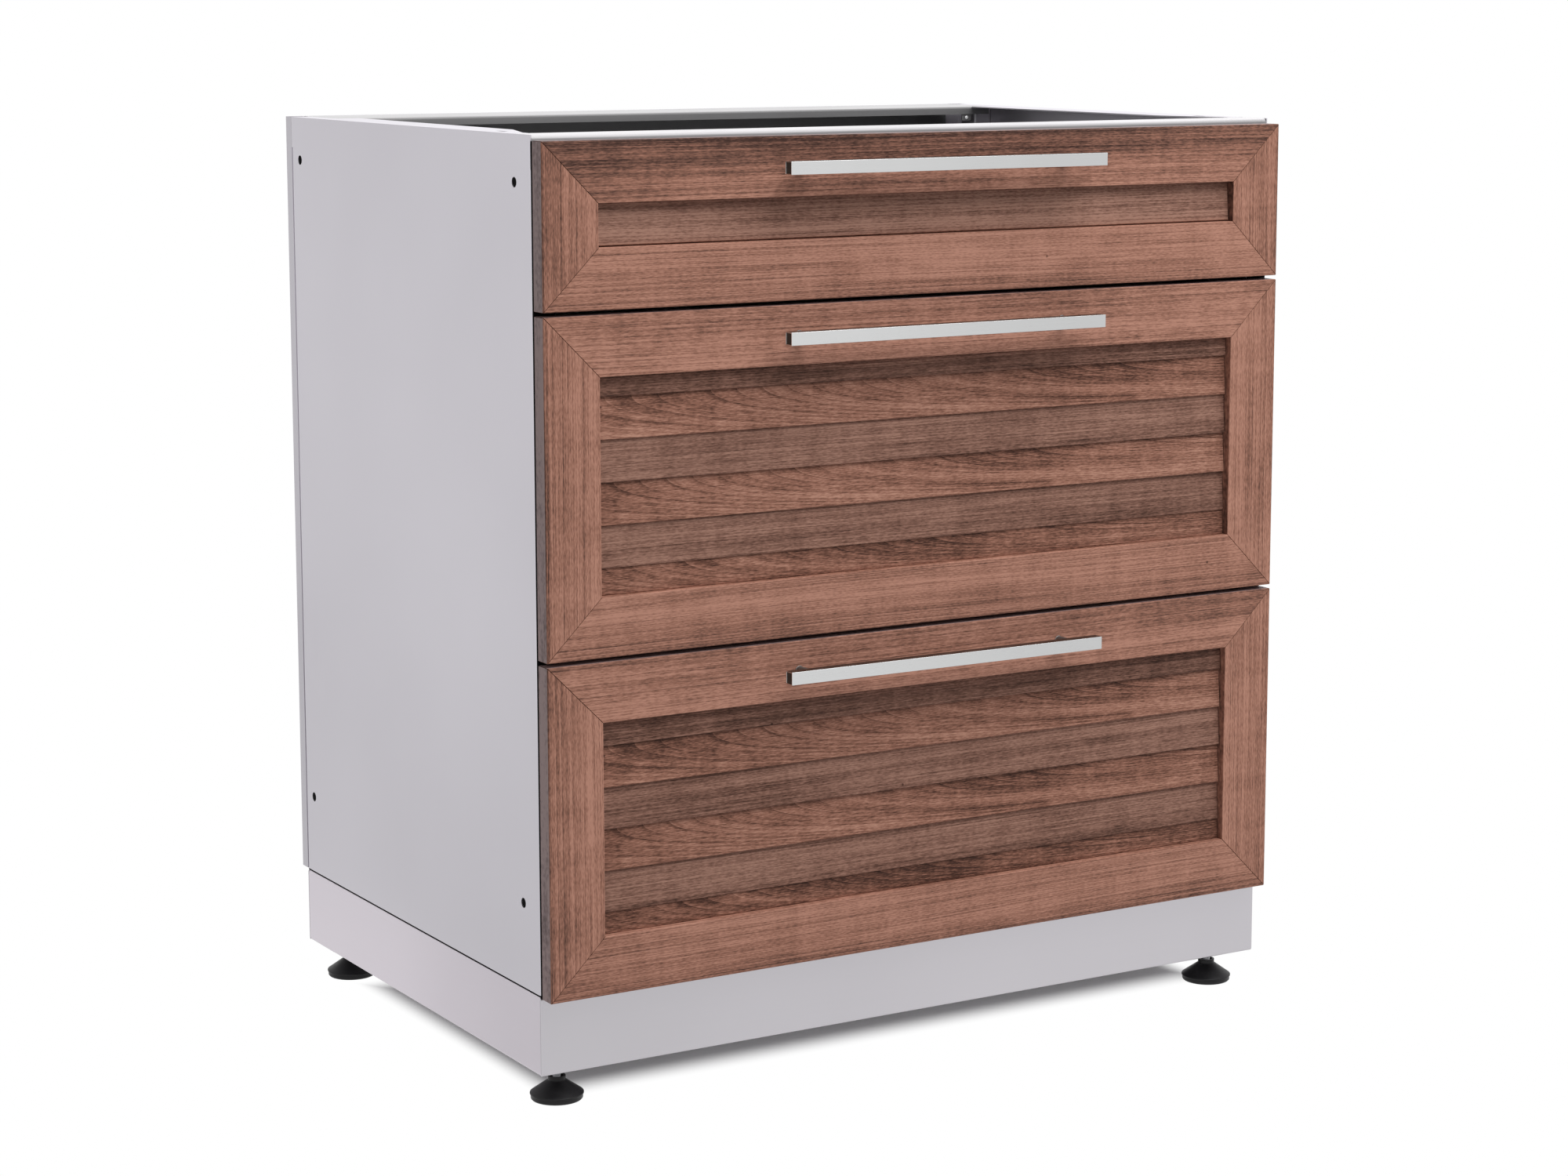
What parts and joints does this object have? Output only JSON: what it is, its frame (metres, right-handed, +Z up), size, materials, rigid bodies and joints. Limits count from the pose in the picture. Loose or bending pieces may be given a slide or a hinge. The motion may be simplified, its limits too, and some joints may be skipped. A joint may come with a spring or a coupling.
{
  "type": "outdoor kitchen drawer unit",
  "caption": "Freestanding steel base cabinet with wood-framed drawer fronts, bar handles, full-extension runners, a plinth and levelling feet; open top for a worktop.",
  "frame": {"origin": "middle of the whole unit's footprint, on the floor under the feet", "axes": "+X to the right seen from the front, +Y to the back (the drawers open towards -Y), +Z up"},
  "size_m": [0.8128, 0.6096, 0.8848],
  "materials": {
    "cabinet_steel": "satin",
    "runner_steel": "zinc plated",
    "handle_steel": "brushed",
    "frame_wood": "matt walnut",
    "slat_wood": "matt walnut",
    "foot_plastic": "fine texture"
  },
  "bodies": {
    "cabinet": {"side_panel_left": "cabinet_steel", "side_panel_right": "cabinet_steel", "back_panel": "cabinet_steel", "floor_panel": "cabinet_steel", "front_top_rail": "cabinet_steel", "rear_top_rail": "cabinet_steel", "rear_post_left": "cabinet_steel", "rear_post_right": "cabinet_steel", "plinth_side_left": "cabinet_steel", "plinth_side_right": "cabinet_steel", "plinth_front": "cabinet_steel", "plinth_rear": "cabinet_steel", "top_cabinet_runner_left": "runner_steel", "top_cabinet_runner_right": "runner_steel", "middle_cabinet_runner_left": "runner_steel", "middle_cabinet_runner_right": "runner_steel", "bottom_cabinet_runner_left": "runner_steel", "bottom_cabinet_runner_right": "runner_steel"},
    "top_drawer": {"top_drawer_box": "cabinet_steel", "top_drawer_runner_left": "runner_steel", "top_drawer_runner_right": "runner_steel", "top_frame_upper": "frame_wood", "top_frame_lower": "frame_wood", "top_frame_left": "frame_wood", "top_frame_right": "frame_wood", "top_infill": "slat_wood", "top_handle": "handle_steel"},
    "top_middle_runners": {"top_middle_runner_left": "runner_steel", "top_middle_runner_right": "runner_steel"},
    "middle_drawer": {"middle_drawer_box": "cabinet_steel", "middle_drawer_runner_left": "runner_steel", "middle_drawer_runner_right": "runner_steel", "middle_frame_upper": "frame_wood", "middle_frame_lower": "frame_wood", "middle_frame_left": "frame_wood", "middle_frame_right": "frame_wood", "middle_infill": "slat_wood", "middle_handle": "handle_steel"},
    "middle_middle_runners": {"middle_middle_runner_left": "runner_steel", "middle_middle_runner_right": "runner_steel"},
    "bottom_drawer": {"bottom_drawer_box": "cabinet_steel", "bottom_drawer_runner_left": "runner_steel", "bottom_drawer_runner_right": "runner_steel", "bottom_frame_upper": "frame_wood", "bottom_frame_lower": "frame_wood", "bottom_frame_left": "frame_wood", "bottom_frame_right": "frame_wood", "bottom_infill": "slat_wood", "bottom_handle": "handle_steel"},
    "bottom_middle_runners": {"bottom_middle_runner_left": "runner_steel", "bottom_middle_runner_right": "runner_steel"},
    "front_left_foot": {"foot_pad_front_left": "foot_plastic", "foot_stem_front_left": "runner_steel"},
    "front_right_foot": {"foot_pad_front_right": "foot_plastic", "foot_stem_front_right": "runner_steel"},
    "rear_left_foot": {"foot_pad_rear_left": "foot_plastic", "foot_stem_rear_left": "runner_steel"},
    "rear_right_foot": {"foot_pad_rear_right": "foot_plastic", "foot_stem_rear_right": "runner_steel"}
  },
  "joints": [
    {"name": "top_drawer_slide", "type": "slide", "parent": "cabinet", "child": "top_drawer", "axis": [0, -1, 0], "range_m": [0, 0.508]},
    {"name": "top_middle_runner_slide", "type": "slide", "parent": "cabinet", "child": "top_middle_runners", "axis": [0, -1, 0], "range_m": [0, 0.254]},
    {"name": "middle_drawer_slide", "type": "slide", "parent": "cabinet", "child": "middle_drawer", "axis": [0, -1, 0], "range_m": [0, 0.508]},
    {"name": "middle_middle_runner_slide", "type": "slide", "parent": "cabinet", "child": "middle_middle_runners", "axis": [0, -1, 0], "range_m": [0, 0.254]},
    {"name": "bottom_drawer_slide", "type": "slide", "parent": "cabinet", "child": "bottom_drawer", "axis": [0, -1, 0], "range_m": [0, 0.508]},
    {"name": "bottom_middle_runner_slide", "type": "slide", "parent": "cabinet", "child": "bottom_middle_runners", "axis": [0, -1, 0], "range_m": [0, 0.254]},
    {"name": "front_left_foot_height", "type": "slide", "parent": "cabinet", "child": "front_left_foot", "axis": [0, 0, -1], "range_m": [-0.01, 0.025]},
    {"name": "front_right_foot_height", "type": "slide", "parent": "cabinet", "child": "front_right_foot", "axis": [0, 0, -1], "range_m": [-0.01, 0.025]},
    {"name": "rear_left_foot_height", "type": "slide", "parent": "cabinet", "child": "rear_left_foot", "axis": [0, 0, -1], "range_m": [-0.01, 0.025]},
    {"name": "rear_right_foot_height", "type": "slide", "parent": "cabinet", "child": "rear_right_foot", "axis": [0, 0, -1], "range_m": [-0.01, 0.025]}
  ],
  "couplings": [
    {"joint": "top_middle_runner_slide", "follows": "top_drawer_slide", "ratio": 0.5},
    {"joint": "middle_middle_runner_slide", "follows": "middle_drawer_slide", "ratio": 0.5},
    {"joint": "bottom_middle_runner_slide", "follows": "bottom_drawer_slide", "ratio": 0.5}
  ]
}
